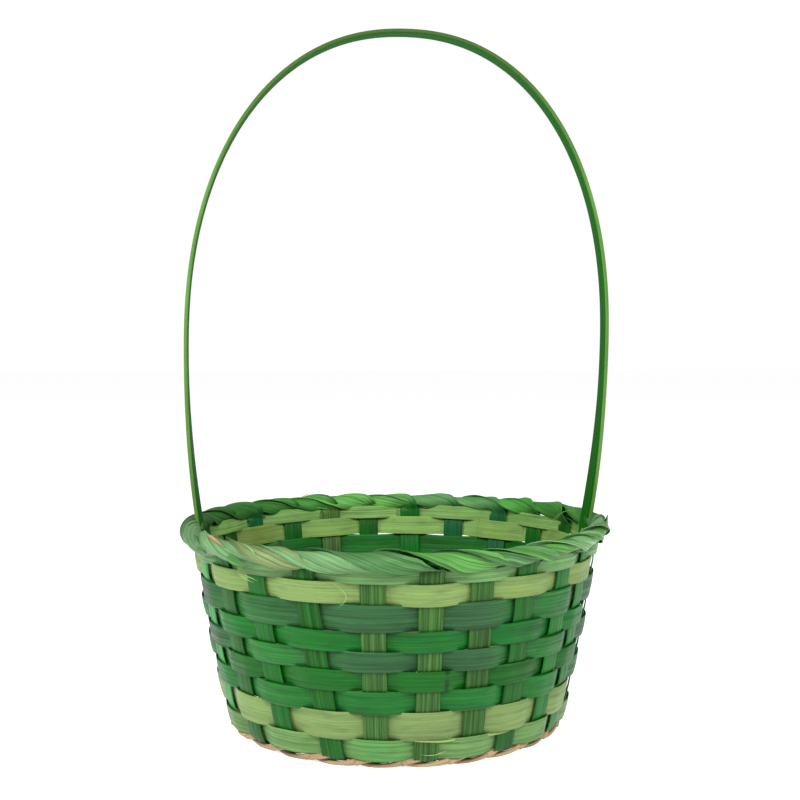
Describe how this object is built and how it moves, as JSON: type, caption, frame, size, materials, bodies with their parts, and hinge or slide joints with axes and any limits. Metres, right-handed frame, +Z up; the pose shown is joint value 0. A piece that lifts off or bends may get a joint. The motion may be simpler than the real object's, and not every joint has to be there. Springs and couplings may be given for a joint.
{
  "type": "easter basket",
  "caption": "Round basket of dyed woven splints with flared sides, a helically rolled rim, a tall fixed bent handle and a natural bamboo base.",
  "frame": {"origin": "centre of the underside of the base, on the surface the basket stands on", "axes": "+Z up along the basket's axis; the handle stands in the XZ plane with one leg at each end of X"},
  "size_m": [0.2466, 0.2466, 0.398],
  "materials": {
    "dyed_stake": "satin",
    "dyed_weaver": "satin",
    "dyed_handle": "satin",
    "rim_filler": "satin",
    "natural_bamboo": "satin"
  },
  "bodies": {
    "root": {"base_hoop": "natural_bamboo", "base_strand_inner": "natural_bamboo", "base_strand_outer": "natural_bamboo", "handle": "dyed_handle", "mat_strip_x1": "natural_bamboo", "mat_strip_x2": "natural_bamboo", "mat_strip_x3": "natural_bamboo", "mat_strip_x4": "natural_bamboo", "mat_strip_x5": "natural_bamboo", "mat_strip_x6": "natural_bamboo", "mat_strip_x7": "natural_bamboo", "mat_strip_y1": "natural_bamboo", "mat_strip_y2": "natural_bamboo", "mat_strip_y3": "natural_bamboo", "mat_strip_y4": "natural_bamboo", "mat_strip_y5": "natural_bamboo", "mat_strip_y6": "natural_bamboo", "mat_strip_y7": "natural_bamboo", "rim_core": "rim_filler", "stake_01": "dyed_stake", "stake_02": "dyed_stake", "stake_03": "dyed_stake", "stake_04": "dyed_stake", "stake_05": "dyed_stake", "stake_06": "dyed_stake", "stake_07": "dyed_stake", "stake_08": "dyed_stake", "stake_09": "dyed_stake", "stake_10": "dyed_stake", "stake_11": "dyed_stake", "stake_12": "dyed_stake", "stake_13": "dyed_stake", "stake_14": "dyed_stake", "stake_15": "dyed_stake", "stake_16": "dyed_stake", "stake_17": "dyed_stake", "stake_18": "dyed_stake", "stake_19": "dyed_stake", "stake_20": "dyed_stake", "stake_21": "dyed_stake", "stake_22": "dyed_stake", "stake_23": "dyed_stake", "stake_24": "dyed_stake", "weaver_01": "dyed_weaver", "weaver_02": "dyed_weaver", "weaver_03": "dyed_weaver", "weaver_04": "dyed_weaver", "weaver_05": "dyed_weaver", "weaver_06": "dyed_weaver", "weaver_07": "dyed_weaver", "weaver_08": "dyed_weaver", "weaver_09": "dyed_weaver"}
  },
  "joints": []
}
